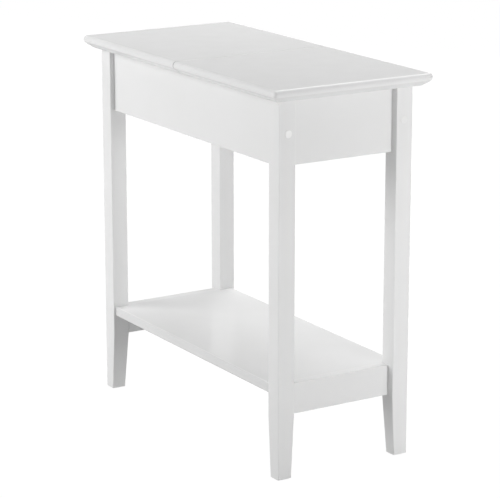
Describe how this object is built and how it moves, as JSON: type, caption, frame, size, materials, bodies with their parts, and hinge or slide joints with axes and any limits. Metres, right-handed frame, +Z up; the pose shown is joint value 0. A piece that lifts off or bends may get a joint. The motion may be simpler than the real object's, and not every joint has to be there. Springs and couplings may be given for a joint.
{
  "type": "end table",
  "caption": "Narrow white end table whose front top half lifts on concealed hinges over a storage compartment, with a low shelf between tapered legs.",
  "frame": {"origin": "on the floor under the middle of the top", "axes": "+Z up, +Y towards the back along the top's length, +X to the right across its width, seen from the front; the lid is the front (-Y) half of the top"},
  "size_m": [0.286, 0.597, 0.61],
  "materials": {
    "top_paint": "satin white paint on fibreboard",
    "leg_paint": "satin white paint on solid wood",
    "apron_paint": "satin white paint on fibreboard",
    "rail_paint": "satin white paint on fibreboard",
    "shelf_paint": "semi-gloss white paint on fibreboard",
    "compartment_paint": "satin white paint on fibreboard",
    "raw_wood": "planed softwood, unfinished",
    "beech": "fluted beech, unfinished",
    "hinge_brass": "satin",
    "hinge_steel": "brushed",
    "zinc_steel": "bright zinc plated",
    "cam_zinc": "die-cast zinc alloy, nickel plated",
    "cap_plastic": "white, moulded",
    "bumper_rubber": "clear silicone",
    "glide_plastic": "white nylon"
  },
  "bodies": {
    "table_frame": {"apron_cam_bolts": "zinc_steel", "apron_cam_locks": "cam_zinc", "back_apron": "apron_paint", "back_left_leg": "leg_paint", "back_right_leg": "leg_paint", "back_shelf_rail": "rail_paint", "bolt_cover_caps": "cap_plastic", "cleat_screws": "zinc_steel", "compartment_divider": "compartment_paint", "compartment_floor": "compartment_paint", "divider_dowels": "beech", "end_apron_dowels": "beech", "fixed_top_panel": "top_paint", "foot_glides": "glide_plastic", "front_apron": "apron_paint", "front_left_leg": "leg_paint", "front_right_leg": "leg_paint", "front_shelf_rail": "rail_paint", "left_apron": "apron_paint", "left_hinge_fixed_barrel": "hinge_brass", "left_top_cleat": "raw_wood", "leg_barrel_nuts": "zinc_steel", "leg_bolts": "zinc_steel", "lid_bumpers": "bumper_rubber", "rail_cam_bolts": "zinc_steel", "rail_cam_locks": "cam_zinc", "rail_dowels": "beech", "right_apron": "apron_paint", "right_hinge_fixed_barrel": "hinge_brass", "right_top_cleat": "raw_wood", "shelf_cam_bolts": "zinc_steel", "shelf_cam_locks": "cam_zinc", "shelf_dowels": "beech", "shelf_panel": "shelf_paint", "side_apron_dowels": "beech", "top_screws": "zinc_steel"},
    "lid": {"lid_panel": "top_paint", "left_hinge_lid_barrel": "hinge_brass", "right_hinge_lid_barrel": "hinge_brass"},
    "left_link": {"left_hinge_link": "hinge_steel"},
    "right_link": {"right_hinge_link": "hinge_steel"}
  },
  "joints": [
    {"name": "lid_hinge", "type": "hinge", "parent": "table_frame", "child": "lid", "pos_m": [0, -0.0041, 0.61], "axis": [-1, 0, 0], "range_deg": [0, 95]},
    {"name": "left_link_pivot", "type": "hinge", "parent": "table_frame", "child": "left_link", "pos_m": [-0.085, -0.0041, 0.61], "axis": [-1, 0, 0], "range_deg": [0, 47.5]},
    {"name": "right_link_pivot", "type": "hinge", "parent": "table_frame", "child": "right_link", "pos_m": [0.085, -0.0041, 0.61], "axis": [-1, 0, 0], "range_deg": [0, 47.5]}
  ],
  "couplings": [
    {"joint": "left_link_pivot", "follows": "lid_hinge", "ratio": 0.5},
    {"joint": "right_link_pivot", "follows": "lid_hinge", "ratio": 0.5}
  ]
}
